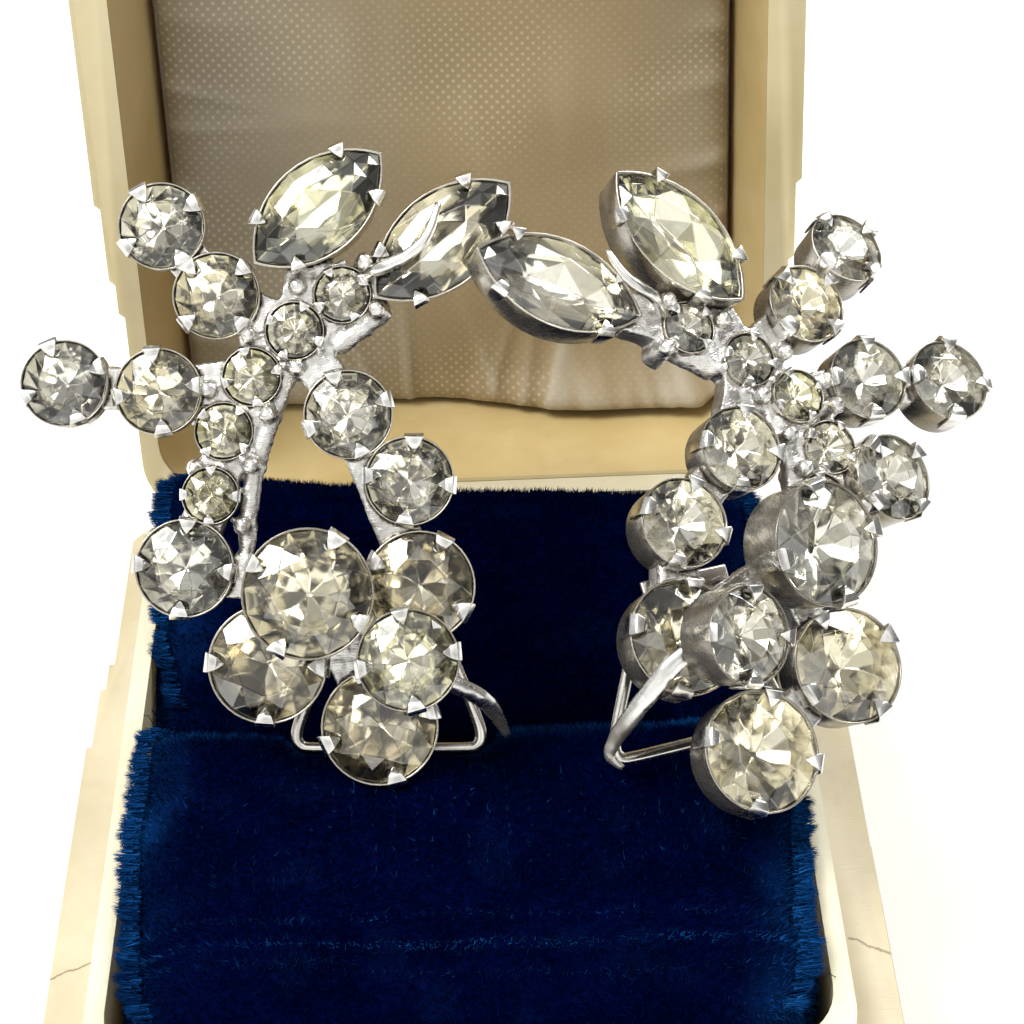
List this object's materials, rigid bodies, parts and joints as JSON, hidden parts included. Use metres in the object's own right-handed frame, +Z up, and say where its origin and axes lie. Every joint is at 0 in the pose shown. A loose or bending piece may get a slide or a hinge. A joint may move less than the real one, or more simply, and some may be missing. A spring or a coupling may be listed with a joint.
{
  "type": "pair of clip-on earrings in a ring box",
  "caption": "Clip-on rhinestone spray earrings with hinged clip hoops, held on the velvet pads of a small box with a hinged, satin-lined lid.",
  "frame": {"origin": "middle of the box base's underside, where the box stands", "axes": "+Z up, +X to the right seen from the front, +Y from the front to the hinge side"},
  "size_m": [0.061, 0.0824, 0.0754],
  "materials": {
    "celluloid": "aged ivory celluloid, satin gloss",
    "velvet": "navy velvet pile",
    "satin": "champagne satin with a fine dot weave",
    "steel": "plain steel pin",
    "rhodium": "tarnished rhodium plate",
    "rhinestone": "foiled, faceted rhinestone with a grey champagne tint"
  },
  "bodies": {
    "box_and_earrings": {"box_base": "celluloid", "pad_front": "velvet", "pad_rear": "velvet", "hinge_pin": "steel", "left_setting": "rhodium", "right_setting": "rhodium", "left_clip_bracket": "rhodium", "right_clip_bracket": "rhodium", "left_round_1": "rhinestone", "left_round_2": "rhinestone", "left_round_3": "rhinestone", "left_round_4": "rhinestone", "left_round_5": "rhinestone", "left_round_6": "rhinestone", "left_round_7": "rhinestone", "left_round_8": "rhinestone", "left_round_9": "rhinestone", "left_round_10": "rhinestone", "left_round_11": "rhinestone", "left_round_12": "rhinestone", "left_small_1": "rhinestone", "left_small_2": "rhinestone", "left_small_3": "rhinestone", "left_small_4": "rhinestone", "left_small_5": "rhinestone", "left_marquise_1": "rhinestone", "left_marquise_2": "rhinestone", "right_round_1": "rhinestone", "right_round_2": "rhinestone", "right_round_3": "rhinestone", "right_round_4": "rhinestone", "right_round_5": "rhinestone", "right_round_6": "rhinestone", "right_round_7": "rhinestone", "right_round_8": "rhinestone", "right_round_9": "rhinestone", "right_round_10": "rhinestone", "right_round_11": "rhinestone", "right_round_12": "rhinestone", "right_small_1": "rhinestone", "right_small_2": "rhinestone", "right_small_3": "rhinestone", "right_small_4": "rhinestone", "right_small_5": "rhinestone", "right_marquise_1": "rhinestone", "right_marquise_2": "rhinestone"},
    "lid": {"lid_shell": "celluloid", "lid_lining": "satin"},
    "left_clip": {"left_clip_hoop": "rhodium"},
    "right_clip": {"right_clip_hoop": "rhodium"}
  },
  "joints": [
    {"name": "lid_hinge", "type": "hinge", "parent": "box_and_earrings", "child": "lid", "pos_m": [0, 0.02825, 0.019], "axis": [1, 0, 0], "range_deg": [0, 26]},
    {"name": "left_clip_hinge", "type": "hinge", "parent": "box_and_earrings", "child": "left_clip", "pos_m": [-0.00434, 0.00236, 0.031], "axis": [0.9993, -0.0236, -0.0302], "range_deg": [0, 85]},
    {"name": "right_clip_hinge", "type": "hinge", "parent": "box_and_earrings", "child": "right_clip", "pos_m": [0.01346, -0.00143, 0.03396], "axis": [0.9096, 0.3966, -0.1241], "range_deg": [-14, 70]}
  ]
}
